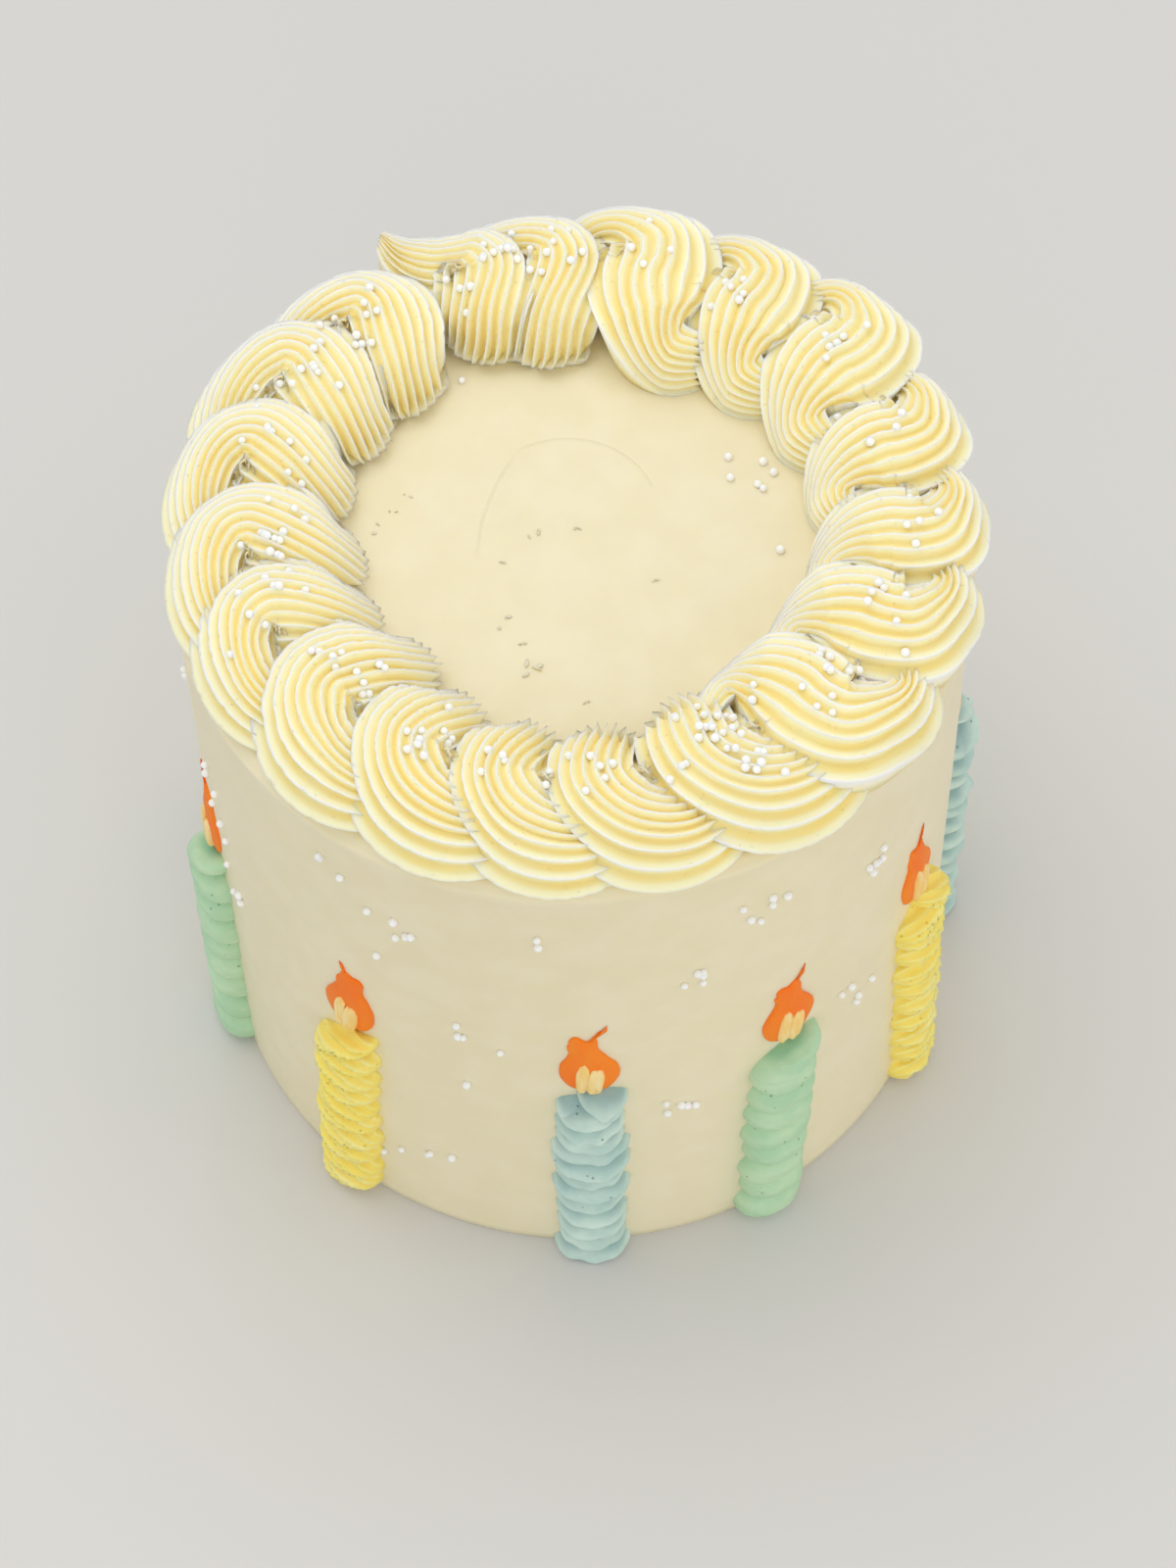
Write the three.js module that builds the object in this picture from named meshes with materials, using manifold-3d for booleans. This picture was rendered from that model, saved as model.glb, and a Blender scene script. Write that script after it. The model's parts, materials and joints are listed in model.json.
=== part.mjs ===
// A tall round birthday cake: smooth buttercream all over, a rope border of nineteen piped
// swirls round the top, and twelve candles piped up the side, each with its flame.
// Millimetres, +Z up. The origin is the centre of the flat base.

import * as THREE from 'three';
import { mergeVertices } from 'three/addons/utils/BufferGeometryUtils.js';
import Module from 'manifold-3d';

// ---------------------------------------------------------------- driving dimensions

const CAKE_RADIUS = 98;
const CAKE_HEIGHT = 188;
const SEAM = 0.3; // clearance between any two pieces that touch

// The rope border. Angles are counter-clockwise from +X, in the order of piping, and each
// swirl's tail lies under the next swirl. A hook of 0 starts straight at the inner edge,
// and a hook of 1 starts with a full turn of the nozzle, which makes an S. "out" moves a
// swirl outwards from the ring.
const RING_RADIUS = 77;
const ROPE_RADIUS = 13.4;
const RIDGES = 8;
const RIDGE_DEPTH = 0.18;
const SWIRLS = [
  { angle: 128.5, hook: 0, size: 1, out: 0 },
  { angle: 145, hook: 0, size: 1, out: 0 },
  { angle: 163.5, hook: 0, size: 1, out: 0 },
  { angle: 182.5, hook: 0, size: 1.02, out: -1 },
  { angle: 199.5, hook: 0, size: 1, out: -1 },
  { angle: 219.5, hook: 0, size: 1.04, out: -1 },
  { angle: 239.5, hook: 0, size: 1, out: -1 },
  { angle: 258, hook: 0, size: 0.98, out: -1 },
  { angle: 275.5, hook: 0.15, size: 1.02, out: 0 },
  { angle: 296, hook: 0.05, size: 1.08, out: 0 },
  { angle: 317.5, hook: 0.5, size: 1.04, out: 1 },
  { angle: 336.5, hook: 0.7, size: 1, out: 1 },
  { angle: 355.5, hook: 0.8, size: 0.98, out: 2 },
  { angle: 14, hook: 0.8, size: 0.96, out: 2 },
  { angle: 35.5, hook: 1, size: 1.02, out: 0 },
  { angle: 54, hook: 1, size: 0.98, out: -1 },
  { angle: 75, hook: 1, size: 1.02, out: -2 },
  { angle: 91, hook: 0, size: 0.96, out: -2 },
  { angle: 105, hook: 0, size: 0.98, out: -2 },
];

// The candles: three icings in turn, round the whole side. "lean" is how far the top of a
// candle stands to the counter-clockwise side of its foot.
const CANDLES = [
  { angle: 4, height: 96, lean: 0 },
  { angle: 31, height: 93, lean: 2 },
  { angle: 58, height: 96, lean: -2 },
  { angle: 85, height: 92, lean: 1 },
  { angle: 112, height: 94, lean: -1 },
  { angle: 138, height: 95, lean: 2 },
  { angle: 164, height: 93, lean: 0 },
  { angle: 195.5, height: 95, lean: -1 },
  { angle: 230, height: 90, lean: 4 },
  { angle: 270.5, height: 90, lean: 0 },
  { angle: 299, height: 89, lean: 4 },
  { angle: 333.5, height: 98, lean: -5 },
];
const CANDLE_KINDS = ['blue', 'mint', 'yellow'];
const CANDLE_SHAPES = {
  blue: { width: 19.5, depth: 9.5, lobes: 11 },
  mint: { width: 17, depth: 9, lobes: 8 },
  yellow: { width: 17.5, depth: 10, lobes: 8 },
};
const CANDLE_SIDES = 5;
const LOBE_PINCH = 0.8;
const FLAME = { width: 14, height: 31, thickness: 1.6 };
const HEART = { width: 8, height: 14, thickness: 1.6, lift: 1.5 };

// ---------------------------------------------------------------- finishes

const finish = (colour, roughness) =>
  new THREE.MeshStandardMaterial({ color: new THREE.Color(...colour), roughness, metalness: 0 });

const smoothIcing = finish([0.86, 0.8, 0.58], 0.45);
const pipedCream = finish([0.95, 0.88, 0.6], 0.45);
const candleIcing = {
  blue: finish([0.39, 0.55, 0.53], 0.6),
  mint: finish([0.36, 0.65, 0.4], 0.6),
  yellow: finish([0.87, 0.72, 0.17], 0.6),
};
const flameIcing = finish([0.95, 0.28, 0.03], 0.5);
const heartIcing = finish([0.88, 0.58, 0.15], 0.5);

// ---------------------------------------------------------------- solids and cuts

const wasm = await Module();
wasm.setup();

function positionsOnly(geometry) {
  const bare = geometry.clone();
  bare.deleteAttribute('normal');
  bare.deleteAttribute('uv');
  return mergeVertices(bare, 1e-4);
}

function toSolid(geometry) {
  const bare = positionsOnly(geometry);
  return new wasm.Manifold(new wasm.Mesh({
    numProp: 3,
    vertProperties: new Float32Array(bare.attributes.position.array),
    triVerts: new Uint32Array(bare.index.array),
  }));
}

function toGeometry(solid) {
  const mesh = solid.getMesh();
  const geometry = new THREE.BufferGeometry();
  geometry.setAttribute('position', new THREE.BufferAttribute(mesh.vertProperties, 3));
  geometry.setIndex(new THREE.BufferAttribute(mesh.triVerts, 1));
  return geometry;
}

function largestPart(solid) {
  return solid.decompose().reduce((best, part) => (part.volume() > best.volume() ? part : best));
}

// Where a vertex of a three.js cylinder lies round its axis, and whether it is on the skin
// or in the middle of a cap.
function placeOnCylinder(position, i, corners) {
  const turn = Math.atan2(-position.getX(i), position.getZ(i));
  const corner = (Math.round((turn / (2 * Math.PI)) * corners) + corners) % corners;
  const onSkin = Math.hypot(position.getX(i), position.getZ(i)) > 0.5;
  return { onSkin, turn, corner };
}

function named(name, geometry, material) {
  const mesh = new THREE.Mesh(geometry, material);
  mesh.name = name;
  return mesh;
}

// ---------------------------------------------------------------- cake body

const RIM_ROUNDING = 4;
const BASE_ROUNDING = 1;
const CAKE_SEGMENTS = 52;

function cakeGeometry(margin) {
  const radius = CAKE_RADIUS + margin;
  const top = CAKE_HEIGHT + margin;
  const profile = [
    new THREE.Vector2(0, 0),
    new THREE.Vector2(radius - BASE_ROUNDING, 0),
    new THREE.Vector2(radius, BASE_ROUNDING),
  ];
  for (const turn of [0, 30, 60, 90]) {
    const a = THREE.MathUtils.degToRad(turn);
    profile.push(new THREE.Vector2(
      radius - RIM_ROUNDING * (1 - Math.cos(a)),
      top - RIM_ROUNDING * (1 - Math.sin(a)),
    ));
  }
  profile.push(new THREE.Vector2(0, top));
  return new THREE.LatheGeometry(profile, CAKE_SEGMENTS).rotateX(Math.PI / 2);
}

// ---------------------------------------------------------------- piped swirls

// Nozzle stations in a swirl's own frame: x outwards, y along the ring in the direction of
// piping, z up from the cake's top, and r the rope's radius there, as a share of full size.
const STRAIGHT_START = [
  { x: -20, y: 6, z: 1.5, r: 0.42 },
  { x: -14, y: 4, z: 4, r: 0.7 },
  { x: -8, y: 1, z: 6.5, r: 0.9 },
  { x: -2, y: -1, z: 7.5, r: 0.98 },
  { x: 4, y: -1.5, z: 8, r: 1 },
];
const HOOKED_START = [
  { x: -22, y: -12, z: 2, r: 0.4 },
  { x: -24, y: -4, z: 4.5, r: 0.68 },
  { x: -17, y: 1.5, z: 6.5, r: 0.9 },
  { x: -8, y: 0, z: 8, r: 1 },
  { x: 2, y: -2, z: 8.5, r: 1 },
];
const TUCKED_TAIL = [
  { x: 10, y: 2.5, z: 7.5, r: 0.93 },
  { x: 12, y: 9.5, z: 6.5, r: 0.85 },
  { x: 10, y: 17, z: 5, r: 0.75 },
  { x: 4.5, y: 22, z: 4, r: 0.6 },
];
const FREE_TAIL = [
  { x: 10, y: 3, z: 8, r: 0.9 },
  { x: 12.5, y: 11, z: 9, r: 0.75 },
  { x: 16.5, y: 19, z: 9, r: 0.5 },
  { x: 21, y: 27, z: 10, r: 0.15 },
];
const SWIRL_STATIONS = 8;
const CURL_STEP = 0.06;
const TURN_SHARE = 0.9;
const SIMPLIFYING = 0.1; // how far a cut swirl's surface may move to save triangles

function mixed(a, b, share) {
  const out = {};
  for (const key of Object.keys(a)) out[key] = a[key] + (b[key] - a[key]) * share;
  return out;
}

// How sharply a path turns at a place along it: a vector towards the middle of the turn,
// as long as one over the radius of the turn.
function curlOf(path, along) {
  const before = Math.max(along - CURL_STEP, 0);
  const after = Math.min(along + CURL_STEP, 1);
  const walked = path.getPoint(before).distanceTo(path.getPoint(after));
  return path.getTangent(after).sub(path.getTangent(before)).divideScalar(walked);
}

// The rope of one swirl: a capped cylinder whose rings are laid along the nozzle's path,
// with every second side pulled in for the ridges of the star nozzle. On the inside of a
// turn the rope stops short of the middle of the turn, so that it never folds into itself.
function swirlGeometry({ hook, size }, isLast, margin) {
  const start = STRAIGHT_START.map((station, i) => mixed(station, HOOKED_START[i], hook));
  const stations = [...start, ...(isLast ? FREE_TAIL : TUCKED_TAIL)];
  const path = new THREE.CatmullRomCurve3(
    stations.map(({ x, y, z }) => new THREE.Vector3(x * size, y * size, z * size)),
  );
  const radii = new THREE.SplineCurve(stations.map(({ r }, i) => new THREE.Vector2(i, r)));
  const sides = RIDGES * 2;
  const geometry = positionsOnly(new THREE.CylinderGeometry(1, 1, 1, sides, SWIRL_STATIONS));
  const position = geometry.attributes.position;
  const up = new THREE.Vector3(0, 0, 1);
  for (let i = 0; i < position.count; i += 1) {
    const along = 0.5 - position.getY(i);
    const { onSkin, turn, corner } = placeOnCylinder(position, i, sides);
    const ridge = corner % 2 === 0 ? 1 : 1 - RIDGE_DEPTH;
    const rope = radii.getPoint(along).y * ROPE_RADIUS * size * ridge;
    const ahead = path.getTangent(along);
    const across = new THREE.Vector3().crossVectors(up, ahead).normalize();
    const over = new THREE.Vector3().crossVectors(ahead, across);
    const outwards = across.multiplyScalar(Math.cos(turn))
      .addScaledVector(over, Math.sin(turn));
    const inTurn = Math.max(outwards.dot(curlOf(path, along)), 1e-6);
    const reach = Math.min(rope, TURN_SHARE / inTurn) + margin;
    const centre = path.getPoint(along);
    if (onSkin) centre.addScaledVector(outwards, reach);
    if (along === 0) centre.addScaledVector(ahead, -margin);
    if (along === 1) centre.addScaledVector(ahead, margin);
    position.setXYZ(i, centre.x, centre.y, centre.z);
  }
  return geometry;
}

function placedSwirl(index, margin) {
  const swirl = SWIRLS[index];
  const geometry = swirlGeometry(swirl, index === SWIRLS.length - 1, margin);
  geometry.translate(RING_RADIUS + swirl.out, 0, CAKE_HEIGHT);
  geometry.rotateZ(THREE.MathUtils.degToRad(swirl.angle));
  return toSolid(geometry);
}

// A swirl gives way to the cake under it and to the swirls piped over it.
function swirlSolid(index) {
  const last = SWIRLS.length - 1;
  const over = index === last ? [] : [placedSwirl(index + 1, SEAM)];
  if (index === 0) over.push(placedSwirl(last, SEAM));
  const cake = toSolid(cakeGeometry(SEAM));
  const rope = over.reduce((left, next) => left.subtract(next), placedSwirl(index, 0));
  return largestPart(rope.subtract(cake)).simplify(SIMPLIFYING);
}

// ---------------------------------------------------------------- piped candles

// A column of stacked lobes with a flat back, standing on the plane of the base. Its back
// faces +Y and its top leans along X.
function candleGeometry({ width, depth, lobes }, height, lean) {
  const rings = lobes * 2;
  const corners = CANDLE_SIDES + 1;
  const geometry = positionsOnly(new THREE.CylinderGeometry(1, 1, 1, corners, rings));
  const position = geometry.attributes.position;
  for (let i = 0; i < position.count; i += 1) {
    const up = position.getY(i) + 0.5;
    const { onSkin, corner } = placeOnCylinder(position, i, corners);
    const sweep = (corner / CANDLE_SIDES) * Math.PI;
    const bulge = Math.round(up * rings) % 2 === 1 ? 1 : LOBE_PINCH;
    const x = onSkin ? Math.cos(sweep) * (width / 2) * bulge : 0;
    const y = onSkin ? -Math.sin(sweep) * depth * bulge : -depth / 3;
    position.setXYZ(i, x + up * lean, y, up * height);
  }
  return geometry;
}

// A flat petal with a pointed top, its back towards +Y.
function petalGeometry({ width, height, thickness }) {
  const half = width / 2;
  const outline = new THREE.Shape();
  outline.moveTo(0, 0);
  outline.quadraticCurveTo(half * 1.1, height * 0.04, half, height * 0.35);
  outline.quadraticCurveTo(half * 0.75, height * 0.7, 0, height);
  outline.quadraticCurveTo(-half * 0.75, height * 0.7, -half, height * 0.35);
  outline.quadraticCurveTo(-half * 1.1, height * 0.04, 0, 0);
  return new THREE.ExtrudeGeometry(outline, {
    depth: thickness,
    bevelEnabled: false,
    curveSegments: 2,
  }).rotateX(Math.PI / 2);
}

function candleGroup({ angle, height, lean }, index) {
  const kind = CANDLE_KINDS[index % CANDLE_KINDS.length];
  const number = String(index + 1).padStart(2, '0');
  const group = new THREE.Group();

  const body = candleGeometry(CANDLE_SHAPES[kind], height, lean);
  const candle = named(`candle_${number}_${kind}`, body, candleIcing[kind]);

  const flame = named(`flame_${number}`, petalGeometry(FLAME), flameIcing);
  flame.position.set(lean, 0, height + SEAM);

  const heart = named(`flame_heart_${number}`, petalGeometry(HEART), heartIcing);
  heart.position.set(lean, -FLAME.thickness - SEAM, height + SEAM + HEART.lift);

  group.add(candle, flame, heart);
  const turn = THREE.MathUtils.degToRad(angle);
  const radius = CAKE_RADIUS + SEAM;
  group.position.set(radius * Math.cos(turn), radius * Math.sin(turn), 0);
  group.rotation.z = turn + Math.PI / 2;
  return group;
}

// ---------------------------------------------------------------- the whole cake

const birthdayCake = new THREE.Group();
birthdayCake.add(named('cake', cakeGeometry(0), smoothIcing));
SWIRLS.forEach((swirl, index) => {
  const name = `swirl_${String(index + 1).padStart(2, '0')}`;
  birthdayCake.add(named(name, toGeometry(swirlSolid(index)), pipedCream));
});
CANDLES.forEach((candle, index) => birthdayCake.add(candleGroup(candle, index)));

export default birthdayCake;
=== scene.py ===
# %% [markdown]
# # A birthday cake with a piped border and piped candles
# This script dresses a plain model of a tall buttercream cake. The plain model gives the
# sizes and the places, and every visible surface is made here: the smooth coat, the star
# piped swirls, the candles drawn up the side in coloured icing, and the sugar pearls.

# %% The plain model and its sizes
import json
import math
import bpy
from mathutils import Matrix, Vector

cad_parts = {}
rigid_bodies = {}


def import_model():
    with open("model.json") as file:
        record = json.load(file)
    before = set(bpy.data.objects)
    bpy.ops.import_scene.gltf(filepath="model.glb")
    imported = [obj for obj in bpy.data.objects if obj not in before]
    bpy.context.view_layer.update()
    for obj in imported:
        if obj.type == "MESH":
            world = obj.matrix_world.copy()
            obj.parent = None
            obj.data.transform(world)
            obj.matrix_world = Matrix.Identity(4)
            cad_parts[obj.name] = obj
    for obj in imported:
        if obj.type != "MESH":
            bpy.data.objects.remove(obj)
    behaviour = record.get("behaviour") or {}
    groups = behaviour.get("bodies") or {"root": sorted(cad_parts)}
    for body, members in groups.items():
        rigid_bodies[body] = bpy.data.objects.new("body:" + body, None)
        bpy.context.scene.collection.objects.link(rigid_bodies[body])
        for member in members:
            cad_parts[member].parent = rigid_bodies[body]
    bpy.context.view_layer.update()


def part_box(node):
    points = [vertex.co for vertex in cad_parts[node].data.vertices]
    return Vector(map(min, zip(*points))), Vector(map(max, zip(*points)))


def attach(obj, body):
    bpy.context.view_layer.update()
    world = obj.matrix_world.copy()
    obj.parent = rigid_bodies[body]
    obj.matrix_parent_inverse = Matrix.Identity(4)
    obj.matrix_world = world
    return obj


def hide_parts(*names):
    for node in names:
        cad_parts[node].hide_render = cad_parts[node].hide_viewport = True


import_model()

from types import SimpleNamespace

import bmesh
import bpy
import numpy as np
from mathutils import Matrix, Vector
from mathutils.bvhtree import BVHTree

MM = 0.001
CAKE_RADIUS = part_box("cake")[1].x / MM
CAKE_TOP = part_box("cake")[1].z / MM
print(f"cake radius {CAKE_RADIUS:.0f} mm, height {CAKE_TOP:.0f} mm")

# %% [markdown]
# ## Shader maths as plain Python
# A material is a graph of nodes. Writing it as arithmetic keeps it readable: a wire is one
# output of a node, and adding or multiplying wires adds the Math nodes that do it.

# %% Wires between shader nodes
class Wire:
    """One output of a shader node. Arithmetic on it adds Math nodes."""

    def __init__(self, tree, socket):
        self.tree = tree
        self.socket = socket

    def node(self, kind, inputs=(), out=0, **settings):
        """Any other node: its settings come first, then values or wires for its inputs."""
        node = self.tree.nodes.new(kind)
        for name, value in settings.items():
            setattr(node, name, value)
        for key, value in dict(inputs).items():
            if isinstance(value, Wire):
                self.tree.links.new(value.socket, node.inputs[key])
            else:
                node.inputs[key].default_value = value
        return Wire(self.tree, node.outputs[out])

    def math(self, operation, a, b=0.0, clamp=False):
        return self.node("ShaderNodeMath", {0: a, 1: b}, operation=operation, use_clamp=clamp)

    def __add__(self, other):
        return self.math("ADD", self, other)

    def __sub__(self, other):
        return self.math("SUBTRACT", self, other)

    def __rsub__(self, other):
        return self.math("SUBTRACT", other, self)

    def __mul__(self, other):
        return self.math("MULTIPLY", self, other)

    def __truediv__(self, other):
        return self.math("DIVIDE", self, other)

    def __pow__(self, other):
        return self.math("POWER", self, other)

    __radd__ = __add__
    __rmul__ = __mul__

    def clamped(self):
        return self.math("ADD", self, 0.0, clamp=True)

    def between(self, low, high):
        """0 below low, 1 above high, and a soft step from one to the other."""
        limits = {"Value": self, "From Min": low, "From Max": high}
        return self.node("ShaderNodeMapRange", limits, interpolation_type="SMOOTHSTEP")

    def noise(self, size_mm, detail=2.0, roughness=0.5, stretch=(1, 1, 1)):
        """Noise from this place, with lumps about size_mm across."""
        scaled = self.node("ShaderNodeMapping", {"Vector": self, "Scale": stretch})
        values = {"Vector": scaled, "Scale": 0.5 / (size_mm * MM), "Detail": detail,
                  "Roughness": roughness}
        return self.node("ShaderNodeTexNoise", values)

    def mix(self, first, second):
        """The colour first where this wire is 0, and second where it is 1."""
        values = {0: self, 6: first, 7: second}
        return self.node("ShaderNodeMix", values, out=2, data_type="RGBA")


def place_on(tree):
    """The wire that tells where a point of the piece is, in metres."""
    return Wire(tree, tree.nodes.new("ShaderNodeTexCoord").outputs["Object"])


def colour(red, green, blue):
    """A colour as a paint shop gives it, 0 to 255, in the linear light that shaders use."""
    parts = [channel / 255 for channel in (red, green, blue)]
    linear = [c / 12.92 if c <= 0.04045 else ((c + 0.055) / 1.055) ** 2.4 for c in parts]
    return (*linear, 1.0)


# %% [markdown]
# ## Buttercream
# Whipped butter and sugar lets light in a little way and lets it out warmer, so it needs
# subsurface scattering, a soft sheen and no hard highlights. Its colour is never quite
# even, and where it is piped its ridges are painted paler, a painted highlight, and its
# grooves a deeper yellow, painted shade.

# %% One builder for every icing
BUTTERCREAM_IOR = 1.42
# How far red, green and blue light travel in icing, against each other.
LIGHT_REACH = (1.0, 0.75, 0.4)


def icing(name, paint, relief, bump_mm, roughness, scatter, depth_mm):
    """A buttercream: paint and relief make its colour and its bump height from a place."""
    material = bpy.data.materials.new(name)
    material.use_nodes = True
    tree = material.node_tree
    shader = tree.nodes["Principled BSDF"]
    shader.inputs["Roughness"].default_value = roughness
    shader.inputs["IOR"].default_value = BUTTERCREAM_IOR
    shader.inputs["Subsurface Weight"].default_value = scatter
    shader.inputs["Subsurface Radius"].default_value = LIGHT_REACH
    shader.inputs["Subsurface Scale"].default_value = depth_mm * MM
    place = place_on(tree)
    tree.links.new(paint(place).socket, shader.inputs["Base Color"])
    height = {"Height": relief(place), "Strength": 1.0, "Distance": bump_mm * MM}
    tree.links.new(place.node("ShaderNodeBump", height).socket, shader.inputs["Normal"])
    print(f"finish: {name}")
    return material


def attribute(place, name):
    return place.node("ShaderNodeAttribute", out=2, attribute_name=name)


def pits(place, spacing_mm, size):
    """1 inside small round air pits, which lie about spacing_mm apart, and 0 between."""
    cells = place.node("ShaderNodeTexVoronoi", {"Vector": place, "Scale": 1 / (spacing_mm * MM)})
    return 1 - cells.between(size * 0.5, size)


# %% [markdown]
# ## Two plain shapes to start from
# The border is piped with a star nozzle, so each of its swirls is a rope pushed out along a
# path. One straight rope is made with a circle and extrusions, and bent along each path
# afterwards, which keeps every ridge on one line of edges and makes it crisp. The candles
# and flames are dabs of icing, so they are balls that are pressed into shape. Either way
# the points are moved all at once, as one array of numbers.

# %% A straight rope, a ball, and their points
def mesh_from(bm, name):
    mesh = bpy.data.meshes.new(name)
    bm.to_mesh(mesh)
    bm.free()
    return mesh


def straight_rope(sides, rings):
    """A closed tube of radius 1 from z = 0 to z = 1."""
    bm = bmesh.new()
    bmesh.ops.create_circle(bm, segments=sides, radius=1)
    rim = bm.edges[:]
    for _ in range(rings):
        grown = bmesh.ops.extrude_edge_only(bm, edges=rim)["geom"]
        corners = {part for part in grown if isinstance(part, bmesh.types.BMVert)}
        bmesh.ops.translate(bm, verts=list(corners), vec=(0, 0, 1 / rings))
        rim = [part for part in grown
               if isinstance(part, bmesh.types.BMEdge) and set(part.verts) <= corners]
    ends = [edge for edge in bm.edges if edge.is_boundary]
    caps = bmesh.ops.holes_fill(bm, edges=ends, sides=0)["faces"]
    bmesh.ops.poke(bm, faces=caps)
    bmesh.ops.recalc_face_normals(bm, faces=bm.faces)
    return mesh_from(bm, "straight_rope")


def ball_mesh(across, upright):
    bm = bmesh.new()
    bmesh.ops.create_uvsphere(bm, u_segments=across, v_segments=upright, radius=1)
    return mesh_from(bm, "ball")


def joined(name, parts):
    """One new mesh of copies of several meshes, their points in the same order."""
    bm = bmesh.new()
    for part in parts:
        bm.from_mesh(part)
    return mesh_from(bm, name)


def points_of(mesh):
    places = np.empty(len(mesh.vertices) * 3)
    mesh.vertices.foreach_get("co", places)
    return places.reshape(-1, 3)


def set_points(mesh, places_mm):
    mesh.vertices.foreach_set("co", (places_mm * MM).ravel())
    mesh.update()


def set_attribute(mesh, name, values):
    layer = mesh.attributes.new(name, "FLOAT", "POINT")
    layer.data.foreach_set("value", values.astype(np.float32))


# %% [markdown]
# ## The path of the nozzle
# A path is given by a few stations of the nozzle, each with a place and the rope's half
# width and height there. A smooth curve is drawn through them, and then cut into rings the
# same distance apart, so that the ridges stay even.

# %% A smooth path through stations
FINE_STEPS = 800


def unit(vectors):
    return vectors / np.maximum(np.linalg.norm(vectors, axis=-1, keepdims=True), 1e-9)


def smooth_rows(rows, at):
    """Rows of numbers on a smooth curve through the given rows, at from 0 to 1."""
    rows = np.array(rows, float)
    ends = np.vstack([2 * rows[0] - rows[1], rows, 2 * rows[-1] - rows[-2]])
    along = np.clip(at * (len(rows) - 1), 0, len(rows) - 1 - 1e-9)
    span = along.astype(int)
    f = (along - span)[:, None]
    a, b, c, d = ends[span], ends[span + 1], ends[span + 2], ends[span + 3]
    return 0.5 * (2 * b + (c - a) * f + (2 * a - 5 * b + 4 * c - d) * f**2
                  + (3 * b - a - 3 * c + d) * f**3)


def softened(values, reach=14):
    """The values with their sudden changes spread over a few neighbours."""
    weights = np.exp(-((np.arange(-reach, reach + 1) / (reach / 2.4)) ** 2))
    padded = np.pad(values, reach, mode="edge")
    return np.convolve(padded, weights / weights.sum(), "valid")


def nozzle_path(stations, rings):
    """The rings of a rope: centre, directions, width, heights, turn and distance walked."""
    fine = np.linspace(0, 1, FINE_STEPS)
    steps = np.linalg.norm(np.diff(smooth_rows(stations, fine)[:, :3], axis=0), axis=1)
    walked = np.concatenate([[0], np.cumsum(steps)])
    distance = np.linspace(0, walked[-1], rings + 1)
    rows = smooth_rows(stations, np.interp(distance, walked, fine))
    centre = rows[:, :3]
    ahead = unit(np.gradient(centre, axis=0))
    over = unit(np.array([0.0, 0.0, 1.0]) - ahead[:, 2:] * ahead)
    across = np.cross(over, ahead)
    turn = softened((np.gradient(ahead, axis=0) * across).sum(1) / distance[1])
    return SimpleNamespace(centre=centre, across=across, over=over, ahead=ahead, turn=turn,
                           wide=rows[:, 3], high=rows[:, 4], edge=rows[:, 5],
                           distance=distance)


# %% [markdown]
# ## Nothing made by hand is quite even
# A few sine waves of random length add up to a smooth curve that doesn't seem to repeat.
# It makes the dips, ripples and rough edges further on. Each piece has a generator with a
# seed of its own, so the cake comes out the same every time.

# %% A random wobble
def wobble(values, rng, waves=4):
    """A smooth random curve between about -1 and 1, the same for the same generator."""
    total = np.zeros(np.shape(values))
    for _ in range(waves):
        total += np.sin(values * rng.uniform(0.5, 1.6) + rng.uniform(0, 2 * math.pi))
    return total / waves


# %% [markdown]
# ## Adding a piece
# A finished piece sits at the origin with its place in its mesh. It rides with the cake.
# Most pieces also stand in for one plain solid, which is hidden. The sugar pearls are too
# small to have a plain solid, so they only ride.

# %% Adding a piece
scene = bpy.context.scene


def add_piece(name, mesh, material, nodes=()):
    mesh.materials.clear()
    mesh.materials.append(material)
    mesh.polygons.foreach_set("use_smooth", [True] * len(mesh.polygons))
    piece = bpy.data.objects.new(name, mesh)
    scene.collection.objects.link(piece)
    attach(piece, "root")
    if nodes:
        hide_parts(*nodes)
    return piece


def turned(places, degrees):
    """Points turned about the cake's axis."""
    c, s = math.cos(math.radians(degrees)), math.sin(math.radians(degrees))
    x, y, z = places.T
    return np.column_stack([c * x - s * y, s * x + c * y, z])


# %% [markdown]
# ## The body of the cake
# The cake is coated thickly, scraped straight round the side and level across the top, so
# half of its section is spun about the axis. The section has many points although it is
# nearly straight, because they are moved a little later.

# %% The cake's section, spun
RIM_ROUNDING = 3.0
SPIN_STEPS = 240


def cake_profile():
    """Half of the cake's section, as (radius, height) from the base's middle to the top's."""
    base = [(r, 0) for r in np.linspace(0, CAKE_RADIUS - 1, 24)]
    wall = [(CAKE_RADIUS, z) for z in np.linspace(1, CAKE_TOP - RIM_ROUNDING, 80)]
    turns = np.radians(np.linspace(0, 90, 9))[1:]
    rim = [(CAKE_RADIUS - RIM_ROUNDING * (1 - math.cos(t)),
            CAKE_TOP - RIM_ROUNDING * (1 - math.sin(t))) for t in turns]
    top = [(r, CAKE_TOP) for r in np.linspace(CAKE_RADIUS - RIM_ROUNDING, 0, 100)[1:]]
    return base + wall + rim + top


def spun(name, profile, steps):
    bm = bmesh.new()
    line = [bm.verts.new((r * MM, 0, z * MM)) for r, z in profile]
    edges = [bm.edges.new(pair) for pair in zip(line, line[1:])]
    bmesh.ops.spin(bm, geom=line + edges, cent=(0, 0, 0), axis=(0, 0, 1),
                   angle=2 * math.pi, steps=steps, use_merge=True)
    bmesh.ops.remove_doubles(bm, verts=bm.verts, dist=1e-6)
    bmesh.ops.recalc_face_normals(bm, faces=bm.faces)
    return mesh_from(bm, name)


# %% [markdown]
# ## What the spatula left
# Scraping leaves faint dips in the side, a soft lip of pushed-up icing at the rim, shallow
# hollows across the top, and a few nicks where the blade was lifted. They are small, but
# without them the coat looks like plastic. All of them are moves of the spun points.

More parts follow.
